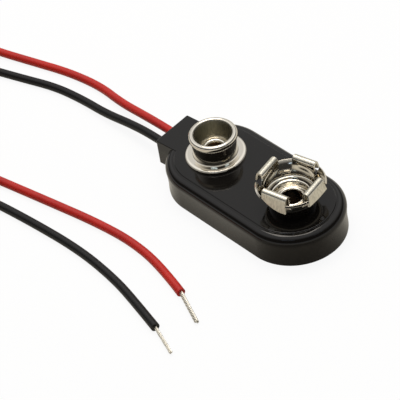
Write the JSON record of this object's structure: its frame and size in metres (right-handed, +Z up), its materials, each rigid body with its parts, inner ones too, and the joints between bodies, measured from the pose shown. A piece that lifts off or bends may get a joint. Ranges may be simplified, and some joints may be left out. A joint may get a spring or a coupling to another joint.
{
  "type": "battery snap connector",
  "caption": "Nine volt battery snap: moulded housing with a stud and a petalled socket contact, and red and black stranded leads.",
  "frame": {"origin": "midway between the two contact axes, on the flat underside", "axes": "+X from the stud contact to the socket contact, away from the leads; +Z up, out of the contact side"},
  "size_m": [0.0854, 0.0358, 0.0085],
  "materials": {
    "black_abs": "moulded, glossy",
    "nickel_plate": "bright nickel plate over stamped sheet",
    "tinned_brass": "tin plated",
    "red_pvc": "satin extruded insulation",
    "black_pvc": "satin extruded insulation",
    "tinned_copper": "twisted tinned strands",
    "solder": "dull bright solder"
  },
  "bodies": {
    "root": {"housing": "black_abs", "bottom_cover": "black_abs", "stud_contact": "nickel_plate", "stud_eyelet": "nickel_plate", "stud_solder_tag": "tinned_brass", "socket_contact": "nickel_plate", "socket_eyelet": "nickel_plate", "socket_solder_tag": "tinned_brass", "red_lead": "red_pvc", "black_lead": "black_pvc", "red_tinned_end": "tinned_copper", "black_tinned_end": "tinned_copper", "red_inner_strands": "tinned_copper", "black_inner_strands": "tinned_copper", "red_solder_joint": "solder", "black_solder_joint": "solder"}
  },
  "joints": []
}
